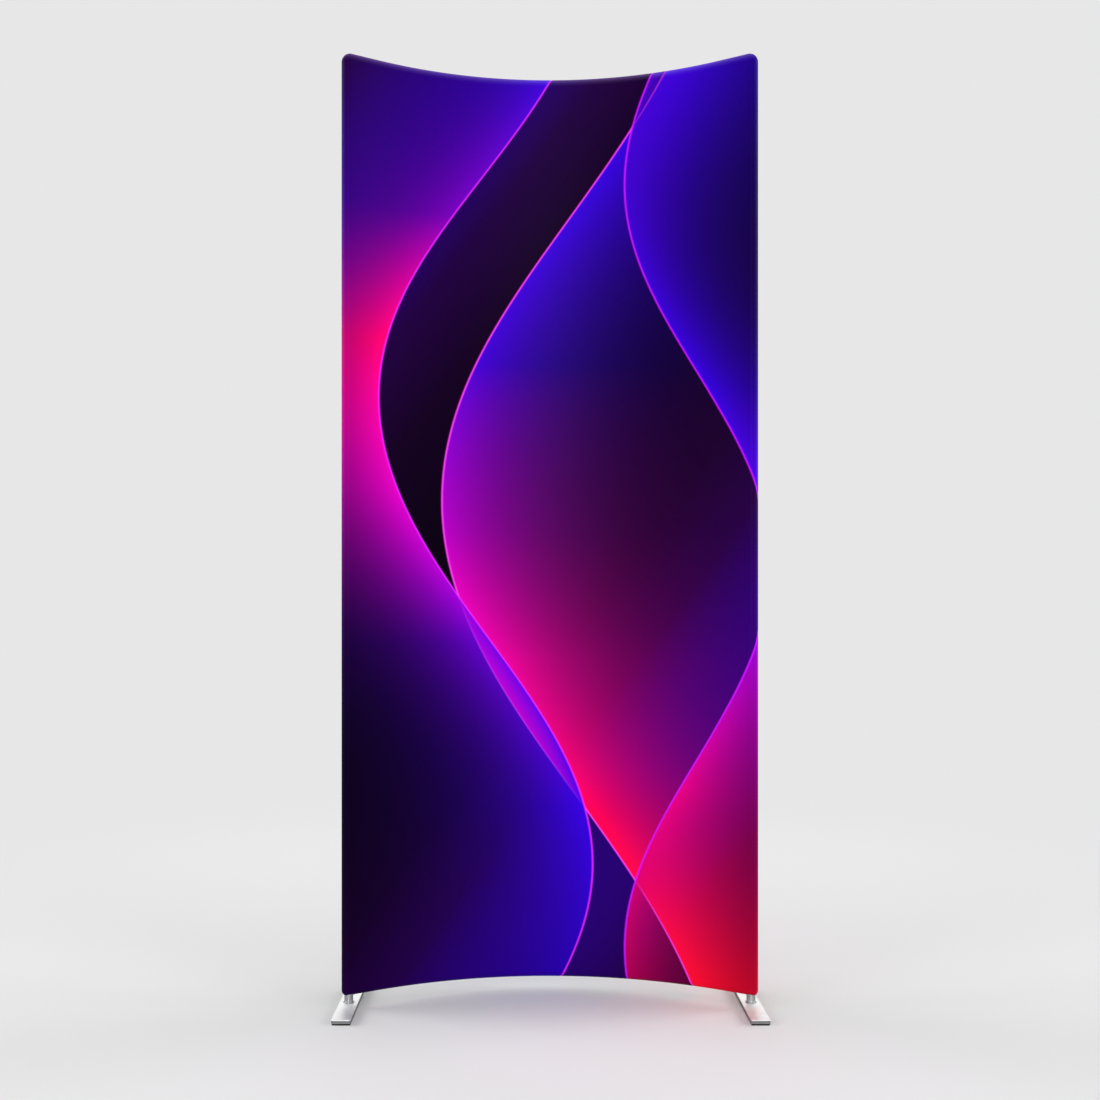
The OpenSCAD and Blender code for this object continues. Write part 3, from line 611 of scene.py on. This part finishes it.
# %% Slider, pull and stops
# All in millimetres: plates as (from, to) behind the mid curve, ears as (from, to) along the wall.
wing_half_width, wing_half_height, wing_round = 5.4, 5.5, 0.45
outer_wing, inner_wing, web = (17.9, 19.3), (13.7, 15.1), (14.4, 18.6)
ears, ear_foot, ear_waist = ((2.8, 4.2), (-4.2, -2.8)), (18.6, 1.5), (20.0, 1.1)
wing = soft_box(wing_half_width, wing_half_height, power=3.6)
wing[:, 0] *= 0.92 + 0.08 * wing[:, 1] / wing_half_height
ear = np.concatenate([[(ear_foot[0], -ear_foot[1]), (ear_waist[0], -ear_waist[1])],
                      arc(pin_out, 0, 0.95, -80, 80, 15), [ear_waist, ear_foot]])
slider = casting(
    "zip_slider_casting",
    *((slab(wing, round_edges(*plate, wing_round)), "up along out", pin_angle)
      for plate in (outer_wing, inner_wing)),
    (slab(soft_box(0.3, 1.8) + (0, 3.6), [(0, depth) for depth in web]), "up along out", pin_angle),
    *((slab(ear, round_edges(*reach, 0.25)), "out up along", pin_angle) for reach in ears),
    (slab(arc(pin_out, 0, 0.8, 0, 345, 24), round_edges(-4.5, 4.5, 0.3)), "out up along", pin_angle))

drop = np.linspace(-21.5, -1.3, 24)
half_width = 1.8 + np.where(drop < -8, 0.7 * ((drop + 8) / 13.5) ** 2, 0.4 * ((drop + 8) / 6.7) ** 2)
tab = np.concatenate([np.stack([drop, -half_width], -1), np.stack([drop, half_width], -1)[::-1],
                      arc(-21.5, 0, 2.5, 90, 270, 21)[1:-1]])
rim = round_edges(-0.6, 0.6, 0.3)
sunk = [(0.95, -0.4), (0.75, -0.6), *rim, (0.75, 0.6), (0.95, 0.4)]
knuckle = [*round_edges(-2.5, 2.5, 0.25), (0.95, 2.5), (0.95, -2.5)]
pull = casting(
    "zip_pull_tab",
    (slab(tab, [(inset, pin_out + height) for inset, height in sunk]), "up along out", pin_angle),
    (slab(arc(pin_out, 0, 1.9, 0, 350, 36), knuckle, hollow=True), "out up along", pin_angle))

stop_angle = zip_half / bend_radius + 0.0015 / back_radius
clip = slab(soft_box(2.8, 1.5, power=5), round_edges(15.4, 18.0, 0.4))
stops = casting("zip_stop_clips", (clip, "up along out", stop_angle), (clip, "up along out", -stop_angle))
for piece, node, body in ((slider, "zip_slider", "zip_slider"), (pull, "zip_pull", "zip_pull"),
                          (stops, "zip_stops", "frame")):
    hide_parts(node)
    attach(piece, body)

# %% [markdown]
# ## Stitching
#
# The tapes are sewn to the cloth with two rows of lockstitch, 3 mm to a stitch, and the ends of the
# slit are closed across. A stitch is a short thick piece of thread that dips into the cloth at both
# ends. Geometry beats a bump map here, because from beside the cloth a thread has a side.

# %% Rows of thread
def thread_stitches(name, s, z, upright, behind):
    """A stitch centred on each (s, z) place, 2.4 mm long and 0.5 mm thick: six rings of six points
    whose radius swells as the root of a half sine, and which sink 0.3 mm at the ends."""
    step = np.linspace(-1, 1, 6)[None, :, None]
    spin = full_turn(6)[None, None, :]
    radius = 0.00025 * np.sqrt(np.clip(1 - step ** 2, 0.02, 1))
    ahead = 0.0012 * step + 0 * spin
    aside = radius * np.sin(spin)
    tall = upright[:, None, None]
    s = s[:, None, None] + np.where(tall, aside, ahead)
    z = z[:, None, None] + np.where(tall, ahead, aside)
    points = on_wall(s, behind + radius * np.cos(spin) - 0.0003 * step ** 2, z)
    tube = grid_faces(6, 6, wrap_columns=True)
    caps = np.stack([np.arange(6)[::-1], np.arange(6) + 30])
    first = 36 * np.arange(len(points))[:, None, None]
    return make_piece(name, points, (tube[None] + first).reshape(-1, 4), (caps[None] + first).reshape(-1, 6))


stitch_pitch = 0.003
row_s = np.arange(-slot_s - 0.004, slot_s + 0.0041, stitch_pitch)
rows = zip_z + np.array([-1, 1]) * (slot_half + 0.0022)
end_z = np.arange(zip_z - slot_half - 0.0007, zip_z + slot_half + 0.0012, stitch_pitch)
stitch_s = np.concatenate([np.tile(row_s, 2), np.repeat([-slot_s - 0.0025, slot_s + 0.0025], len(end_z))])
stitch_z = np.concatenate([np.repeat(rows, len(row_s)), np.tile(end_z, 2)])
stitch_up = np.concatenate([np.zeros(2 * len(row_s), bool), np.ones(2 * len(end_z), bool)])
zip_stitches = thread_stitches("zip_topstitching", stitch_s, stitch_z, stitch_up, cover_radius + 0.00008)
closed_outwards(zip_stitches)
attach(zip_stitches, "frame")
print("stitches:", len(stitch_s))

# %% [markdown]
# ## Bound openings
#
# Each post passes through a round opening in the bottom of the cover. Cut knit would ladder, so the
# edge is bound all round with thread. The binding follows the rim, which isn't flat: the rim is where
# an upright cylinder meets the rounded bottom of the cover.

# %% Thread binding round each opening
def bound_rim(name, way):
    """A ring of thread round one post. At angle b the rim is at radius r from the post, at the height
    where the cloth's quarter round stands r sin b off the mid curve, plus the corner's own lift."""
    turns, wraps = 180, 60
    b = full_turn(turns)[:, None]
    spin = full_turn(8)[None, :]
    radius = opening_radius + 0.0004
    s, d = radius * np.cos(b), radius * np.sin(b)
    t = cover_radius - np.sqrt(cover_radius ** 2 - d ** 2)
    past = np.clip(s + post_s - (half_length - bottom_corner), 0, bottom_corner)
    lift = np.clip((bottom_corner - t) ** 2 - past ** 2, 0, None)
    z = cloth_bottom + bottom_corner - np.sqrt(lift)
    thick = 0.00042 * (1 + 0.16 * np.cos(wraps * b))
    out, rise = thick * np.cos(spin), thick * np.sin(spin)
    points = on_wall(way * (post_s + (radius + out) * np.cos(b)), (radius + out) * np.sin(b), z + rise)
    faces = grid_faces(turns, 8, wrap_rows=True, wrap_columns=True)
    return closed_outwards(make_piece(name, points, faces, crease=180))


bindings = {}
for hand, way in (("left", -1), ("right", 1)):
    bindings[hand] = bound_rim("opening_binding_" + hand, way)
    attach(bindings[hand], "frame")

# %% [markdown]
# ## The feet
#
# A foot is a length of 45 by 8 mm bright steel bar, sawn, its corners ground round and its top edges
# broken, then plated. Under it is a sheet of rubber, and a countersunk screw comes up through both
# into the post. The bar has a hole, so its surface closes on itself like a ring: over the top, down
# the side, back along the bottom and up the bore. That makes it a grid wrapped both ways. A cube with
# a Bevel and a Boolean would do, but leaves faces of many corners that shade badly.

# %% Rings of a plate with a hole
def rounded_outline(width, length, radius, per_corner=7):
    """Points and outward directions round a rectangle with rounded corners. The long sides' points
    are spread by equal angles seen from the centre, so that a small circle there gets even points."""
    half_w, half_l = width / 2 - radius, length / 2 - radius
    steep = math.atan(half_l / (width / 2)) * 0.999
    side_y = width / 2 * np.tan(np.linspace(-steep, steep, 34))
    end_x = np.linspace(half_w, -half_w, 7)[1:-1]
    quarter = np.linspace(0, math.pi / 2, per_corner)
    places, ways = [], []
    for k, (a, b) in enumerate([(1, 1), (-1, 1), (-1, -1), (1, -1)]):
        angle = quarter + k * math.pi / 2
        way = np.stack([np.cos(angle), np.sin(angle)], -1)
        if k % 2 == 0:
            side, facing = [b * end_x, b * length / 2 + 0 * end_x], (0.0, b)
        else:
            side, facing = [a * width / 2 + 0 * side_y, a * side_y], (a, 0.0)
        places += [(a * half_w, b * half_l) + radius * way, np.stack(side, -1)]
        ways += [way, np.tile(facing, (len(side[0]), 1))]
    return np.concatenate(places), np.concatenate(ways)


def plate_with_hole(name, outline, insets, hole, x, y, z):
    """A closed plate round (x, y). insets are (distance in from the outline, height) rings, from the
    top edge down to the bottom one, and hole is (radius, height) rings from the bottom up."""
    places, ways = outline
    bearing = np.arctan2(places[:, 1], places[:, 0])
    circle = np.stack([np.cos(bearing), np.sin(bearing)], -1)
    rings = [np.column_stack([places - inset * ways, np.full(len(places), h)]) for inset, h in insets]
    rings += [np.column_stack([radius * circle, np.full(len(places), h)]) for radius, h in hole]
    points = np.stack(rings) + (x, y, z)
    faces = grid_faces(len(rings), len(places), wrap_rows=True, wrap_columns=True)
    return closed_outwards(make_piece(name, points, faces, crease=32))


def turned(name, profile, x, y, z, segments=96):
    """A turned piece round an upright axis. profile is (radius, height) points that start and end on
    the axis, and each of the others becomes a ring."""
    profile = np.array(profile, float)
    bearing = full_turn(segments)
    inner = profile[1:-1]
    rings = np.stack([inner[:, :1] * np.cos(bearing), inner[:, :1] * np.sin(bearing),
                      np.repeat(inner[:, 1:], segments, axis=1)], -1)
    points = np.concatenate([rings.reshape(-1, 3), [[0, 0, profile[0, 1]], [0, 0, profile[-1, 1]]]])
    start, end, last = len(points) - 2, len(points) - 1, (len(inner) - 1) * segments
    j = np.arange(segments)
    fans = np.concatenate([np.stack([np.full(segments, start), (j + 1) % segments, j], -1),
                           np.stack([np.full(segments, end), last + j, last + (j + 1) % segments], -1)])
    faces = grid_faces(len(inner), segments, wrap_columns=True)
    return closed_outwards(make_piece(name, points + (x, y, z), faces, fans, crease=32))


# %% Both feet
pad_top = float(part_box("foot_plate_left")[0][2])
plate_top = float(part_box("foot_plate_left")[1][2])
post_top = float(post_high[2])
plate_h = plate_top - pad_top
round_top = [(0.0011 - 0.0011 * math.cos(a), plate_h - 0.0011 + 0.0011 * math.sin(a))
             for a in np.radians(np.linspace(90, 0, 7))]
plate_edges = [*round_top, (0.0, 0.0005), (0.00015, 0.00015), (0.0005, 0.0)]
plate_hole = [(0.0082, 0.0), (0.0042, 0.0040), (0.0042, plate_h)]
pad_edges = [(0.0004, pad_top), (0.0, pad_top - 0.0004), (0.0, 0.0004), (0.0004, 0.0)]
pad_hole = [(0.009, 0.0), (0.009, pad_top)]
post_profile = np.array([
    (0, 0.025), (0.0041, 0.025), (0.0041, 0.0), *arc(0.0126, 0.0004, 0.0004, -90, 0),
    *arc(0.0124, 0.0014, 0.0006, 0, 90), (0.0112, 0.0020), *arc(0.0112, 0.0027, 0.0007, 270, 180),
    (0.0105, 0.030), (0.0105, post_top - plate_top - 0.0015), (0.0101, post_top - plate_top - 0.0006),
    (0.0090, post_top - plate_top), (0, post_top - plate_top)])
bar_outline, rubber_outline = rounded_outline(0.045, 0.230, 0.004), rounded_outline(0.043, 0.228, 0.0035)
feet = {}
for hand, way in (("left", -1), ("right", 1)):
    feet[hand] = {
        "plate": plate_with_hole("foot_bar_" + hand, bar_outline, plate_edges, plate_hole,
                                 way * post_x, post_y, pad_top),
        "post": turned("foot_stem_" + hand, post_profile, way * post_x, post_y, plate_top),
        "pad": plate_with_hole("foot_rubber_" + hand, rubber_outline, pad_edges, pad_hole,
                               way * post_x, post_y, 0.0)}
    for part, piece in feet[hand].items():
        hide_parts(f"foot_{part}_{hand}")
        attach(piece, "foot_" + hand)

# %% [markdown]
# ## Metal finishes
#
# The feet in the picture are bright: the bar's top is nearly white and mirrors the panel only as a
# faint grey, its broken edges show as white lines, and its sawn ends and sides are darker. The metal
# is satin nickel over ground steel, bead-blasted first, so that half of what it sends back is spread
# all round. The darker ends and sides are painted shade: every face that stands within 12 degrees of
# upright gets a darker grey. The grinding leaves fine lines along the bar, which spread a reflection
# across it, so the bump is a noise stretched 60 times along the bar. The posts were turned in a lathe,
# so their lines run round them instead.

# %% Satin nickel on ground bar, and polished turned steel
def satin_nickel_bar():
    """Ground steel bar with satin nickel: pale and softly mirroring. Painted shade makes the sawn ends
    and the sides a darker grey: the faces whose normal points less than 12 degrees up or down."""
    material, tree, shader = new_material("satin_nickel_on_ground_steel", Metallic=0.6)
    place = add(tree, "TexCoord", out=3)
    lines = add(tree, "Mapping", {0: place, "Scale": (2500.0, 40.0, 2500.0)})
    grind, cloud = noise(tree, lines, 1.0, 3.0), noise(tree, place, 45.0, 3.0)
    rough = remap(tree, calc(tree, "MULTIPLY_ADD", grind, 0.5, cloud), 0.34, 0.5, 0.4, 1.1)
    tone = add(tree, "ValToRGB", {"Fac": cloud}, stops=[(0.3, "#f0f0f0"), (0.7, "#fafafa")])
    # Painted shade: faces within 12 degrees of upright, the sawn ends and sides, get a darker grey.
    facing = add(tree, "SeparateXYZ", {0: add(tree, "NewGeometry", out="Normal")}, out=2)
    upright = calc(tree, "LESS_THAN", calc(tree, "ABSOLUTE", facing), math.sin(math.radians(12)))
    finish(tree, shader, mix(tree, upright, tone, linear("#7a7c7e")), rough, grind, 0.12, 0.00002)
    return material


def turning(tree):
    """Turning lines 0.25 mm apart round an upright axis, under a smear left by the polishing."""
    place = add(tree, "TexCoord", out=3)
    smear = noise(tree, place, 120.0, 2.0)
    return smear, smear, sine_lines(tree, place, 2, 0.00025)


# Steel with a thin chrome plate, darker at its sides, where it mirrors the room's edges.
stem_steel = patterned("chromed_turned_steel", turning, [(0.3, "#8f9091"), (0.7, "#9c9d9e")],
                       (0.34, 0.46), (0.08, 0.00001), Metallic=1.0)
bar_steel = satin_nickel_bar()
for hand in feet:
    wear(feet[hand]["plate"], bar_steel)
    wear(feet[hand]["post"], stem_steel)

# %% [markdown]
# ## Rubber, thread and tape
#
# The rubber is black sheet, moulded with fine ribs that grip the floor. The thread is bonded
# polyester in the cloth's dark violet, and the zip's tape is a plain weave in navy, whose ribs stand
# 0.7 mm apart. They are matt, so each gets most of its look from bump.

# %% Matt black rubber, spun thread, woven tape, drawn nylon
def moulded_ribs(tree):
    """Ribs 1.5 mm apart, under a little grey dust."""
    place = add(tree, "TexCoord", out=3)
    dust = noise(tree, place, 160.0, 5.0)
    return dust, dust, sine_lines(tree, place, 1, 0.0015)


def twisted_plies(tree):
    """Plies that lie slanting across the thread, 0.6 mm apart."""
    slant = add(tree, "Mapping", {0: add(tree, "TexCoord", out=3), "Rotation": (0.6, 0.9, 0.4)})
    return (bands(tree, slant, 0.0006, "X", {"Distortion": 1.0}),) * 3


def plain_weave(tree):
    """A rib along the tape every 0.7 mm, crossed by finer picks."""
    place = add(tree, "UVMap", uv_map="Cloth")
    picks, ribs = bands(tree, place, 0.0005, "X"), bands(tree, place, 0.0007, "Y")
    return (calc(tree, "MULTIPLY_ADD", picks, 0.5, ribs),) * 3


def uneven_dye(tree):
    """Clouds of dye on a filament that is smooth from the die, so it glints."""
    dye = noise(tree, add(tree, "TexCoord", out=3), 300.0, 2.0)
    return dye, dye, None


rubber = patterned("nitrile_rubber_sheet", moulded_ribs, [(0.35, "#020203"), (0.75, "#0c0c0e")],
                   (0.7, 0.95), (0.5, 0.0003), Specular_IOR_Level=0.1)
tape_weave = patterned("woven_polyester_tape", plain_weave, [(0.1, "#0c0a22"), (1.0, "#1f1b4a")],
                       (0.6, 0.8), (0.5, 0.00012), Specular_IOR_Level=0.3, Sheen_Weight=0.15,
                       Sheen_Roughness=0.5)
coil_nylon = patterned("nylon_monofilament", uneven_dye, [(0.3, "#141132"), (0.7, "#211d4c")],
                       (0.28, 0.4), Coat_Weight=0.25, Coat_Roughness=0.15)
cover_thread = patterned("bonded_polyester_thread", twisted_plies, [(0.2, "#120a3c"), (0.9, "#2c1c78")],
                         (0.45, 0.65), (0.4, 0.0001), Specular_IOR_Level=0.4, Sheen_Weight=0.3,
                         Sheen_Roughness=0.4)
for hand in feet:
    wear(feet[hand]["pad"], rubber)
    wear(bindings[hand], cover_thread)
for word in zip_tape:
    wear(zip_tape[word], tape_weave)
    wear(zip_coil[word], coil_nylon)
wear(zip_stitches, cover_thread)

# %% [markdown]
# ## Finishes inside the cover
#
# The frame is out of sight while the cover is on, but it is part of the model, so its CAD nodes get
# true finishes too: anodised tube with faint extrusion lines, grey glass-filled nylon, milky nylon
# cups, blued springs, and plated screws, rivets and buttons. Each differs from the next in a few
# numbers, so two families of material cover them all.

# %% A family of metals and a family of mouldings
def plated_metal(name, dark, pale, rough, grain_mm, stretch=(1.0, 1.0, 1.0)):
    """A metal with a grain: its tone and roughness follow a noise of that size in millimetres,
    stretched along the way it was drawn or rolled."""
    def grain(tree):
        place = add(tree, "Mapping", {0: add(tree, "TexCoord", out=3), "Scale": stretch})
        return (noise(tree, place, 1000.0 / grain_mm, 3.0),) * 3
    return patterned(name, grain, [(0.3, dark), (0.7, pale)], (rough - 0.06, rough + 0.08),
                     (0.2, 0.00001), Metallic=1.0)


def moulded_nylon(name, dark, pale, rough, subsurface):
    """Injection-moulded nylon: the spark-eroded mould leaves a fine pebble 0.4 mm across, and the
    flow of the plastic a slow cloud of tone."""
    def pebble(tree):
        place = add(tree, "TexCoord", out=3)
        mould = add(tree, "TexVoronoi", {"Vector": place, "Scale": 2500.0})
        return noise(tree, place, 60.0, 2.0), mould, mould
    return patterned(name, pebble, [(0.3, dark), (0.7, pale)], (rough - 0.05, rough + 0.1),
                     (0.3, 0.00004), Subsurface_Weight=subsurface, Subsurface_Scale=0.002)


upright_tube = plated_metal("anodised_aluminium_drawn_upright", "#b9bdc2", "#c9ccd0", 0.36, 1.2,
                            stretch=(1.0, 1.0, 0.02))
rolled_rail = plated_metal("anodised_aluminium_rolled_rail", "#b9bdc2", "#c9ccd0", 0.36, 1.2,
                           stretch=(0.04, 1.0, 1.0))
finishes = {
    "upright_": upright_tube,
    "top_rail": rolled_rail, "bottom_rail": rolled_rail, "crossbar": rolled_rail,
    "elbow_": moulded_nylon("glass_filled_nylon", "#232527", "#2f3235", 0.55, 0.0),
    "post_cup_": moulded_nylon("natural_nylon", "#ded8c6", "#ece7d9", 0.42, 0.3),
    "button_": plated_metal("nickel_plated_button", "#c4beb2", "#d6d1c6", 0.22, 0.8),
    "snap_springs": plated_metal("blued_spring_steel", "#3c4654", "#566273", 0.3, 2.0),
    "rail_rivets": plated_metal("drawn_aluminium_rivet", "#c3c5c8", "#d3d5d7", 0.4, 0.6),
    "saddle_screws": plated_metal("zinc_plated_saddle_screw", "#aeb2b4", "#c6cacb", 0.34, 0.7),
    "foot_screw_": plated_metal("zinc_plated_foot_screw", "#a9adb0", "#c2c6c8", 0.32, 0.7)}
finishes["crossbar_socket"] = finishes["elbow_"]
dressed = set()
for start in sorted(finishes, key=len):
    for name, node in frame["nodes"].items():
        if name.startswith(start) and not node.hide_render:
            wear(node, finishes[start])
            dressed.add(name)
print("CAD nodes dressed:", len(dressed))
wear(slider, plated_metal("die_cast_zinc_slider", "#9b9ea2", "#a8abaf", 0.22, 1.8))
wear(pull, plated_metal("die_cast_zinc_pull", "#a2a5a9", "#afb2b5", 0.2, 1.8))
wear(stops, plated_metal("nickel_silver_stop", "#b0ada4", "#bcb9b0", 0.28, 1.2))

# %% [markdown]
# ## The studio
#
# The picture has one pale grey all over, with a soft shadow that is darkest just in front of the
# wall's foot and dies away within half a metre. Low light from both sides makes such a shadow: it
# passes along the wall, and only the dome of the sky is lost near it. So the floor gets a third of its
# light from an even world and half from three pairs of wide, low windows, whose shares were found by
# fitting their sum to the picture's floor. A low lamp in front lights the print, a high one the tops
# of the feet, and a faint one the back. Open floor gets them all alike, so its tone is one number:
# the floor's own colour times the light on it. Away from the wall it passes into plain backdrop
# colour, so no horizon shows. Rays that bounce off cloth or floor see a weaker world than the camera
# and the metal do.

# %% Floor, world and lamps
backdrop = "#e7e7e7"


def plain_rays(tree):
    """1 for a ray from the camera, off a mirror or through glass, and 0 for the others."""
    camera = add(tree, "LightPath", out="Is Camera Ray")
    glossy = add(tree, "LightPath", out="Is Glossy Ray")
    clear = add(tree, "LightPath", out="Is Transmission Ray")
    return calc(tree, "MAXIMUM", calc(tree, "MAXIMUM", camera, glossy), clear)


def studio_floor():
    """A wide flat sheet. Near the wall 6% of what the camera sees is the backdrop's own colour,
    which keeps the shadow from going black, and from 1.5 to 3 m out it becomes all of it."""
    span = np.linspace(-30, 30, 3)
    x, y = np.meshgrid(span, span)
    floor = make_piece("studio_floor", np.stack([x, y, np.full(x.shape, -0.0002)], -1), grid_faces(3, 3))
    material = bpy.data.materials.new("painted_studio_floor")
    material.use_nodes = True
    tree = material.node_tree
    tree.nodes.remove(tree.nodes["Principled BSDF"])
    place = add(tree, "TexCoord", out=3)
    out_from = add(tree, "VectorMath", {0: place}, out="Value", operation="LENGTH")
    plain = add(tree, "MapRange", {"Value": out_from, "From Min": 1.5, "From Max": 3.0, "To Min": 0.06,
                                   "To Max": 1.0}, interpolation_type="SMOOTHSTEP")
    plain = calc(tree, "MULTIPLY", plain, plain_rays(tree))
    paint = add(tree, "BsdfDiffuse", {"Color": linear(backdrop)})
    flat = add(tree, "Emission", {"Color": linear(backdrop), "Strength": 1.0})
    surface = add(tree, "MixShader", {0: plain, 1: paint, 2: flat})
    tree.links.new(surface, tree.nodes["Material Output"].inputs["Surface"])
    wear(floor, material)


def studio_world(level):
    """The backdrop's colour for plain rays, and an even white of that level for the rest."""
    world = bpy.data.worlds.new("studio")
    bpy.context.scene.world = world
    world.use_nodes = True
    tree = world.node_tree
    seen = add(tree, "Background", {"Color": linear(backdrop), "Strength": 1.0})
    even = add(tree, "Background", {"Color": (1.0, 1.0, 1.0, 1.0), "Strength": level})
    both = add(tree, "MixShader", {0: plain_rays(tree), 1: even, 2: seen})
    tree.links.new(both, tree.nodes["World Output"].inputs["Surface"])


def soft_sun(name, share, softness, elevation, azimuth):
    """A lamp far off, at that height above the horizon and that way round from the front, all in
    degrees. share is the light that it gives the floor, where 1 renders a colour as it is written: a
    sun's strength times the sine of its elevation, over pi."""
    lamp = bpy.data.lights.new(name, "SUN")
    lamp.energy = share * math.pi / math.sin(math.radians(elevation))
    lamp.angle = math.radians(softness)
    obj = bpy.data.objects.new(name, lamp)
    obj.rotation_euler = (math.radians(90 - elevation), 0, math.radians(azimuth))
    bpy.context.scene.collection.objects.link(obj)


studio_floor()
studio_world(0.36)
for azimuth, share in ((60, 0.072), (95, 0.139), (105, 0.067)):
    soft_sun(f"left_window_{azimuth}", share, 30, 20, -azimuth)
    soft_sun(f"right_window_{azimuth}", share, 30, 20, azimuth)
soft_sun("front_lamp", 0.085, 20, 13, 0)
soft_sun("high_lamp", 0.045, 30, 65, 0)
soft_sun("back_lamp", 0.015, 30, 18, 180)

# %% [markdown]
# ## The camera
#
# The picture was taken level, from a little left of the middle, with a lens of about 36 mm on a 36 mm
# sensor. Its uprights stay parallel, because the frame was shifted up and the camera not tilted. The
# numbers come from fitting the wall's corners and the feet to their places in the picture, 1100
# pixels square.

# %% Camera at the picture's place
camera = bpy.data.cameras.new("camera")
camera.sensor_width, camera.lens = 36.0, 36.0 * 1089.63 / 1100
camera.shift_x, camera.shift_y = (550 - 528.01) / 1100, (604.31 - 550) / 1100
camera_obj = bpy.data.objects.new("camera", camera)
camera_obj.location = (-0.0524, post_y - 2.6175, 0.9678)
camera_obj.rotation_euler = (math.pi / 2, 0, 0)
bpy.context.scene.collection.objects.link(camera_obj)
bpy.context.scene.camera = camera_obj
bpy.context.scene.view_settings.view_transform = "Standard"
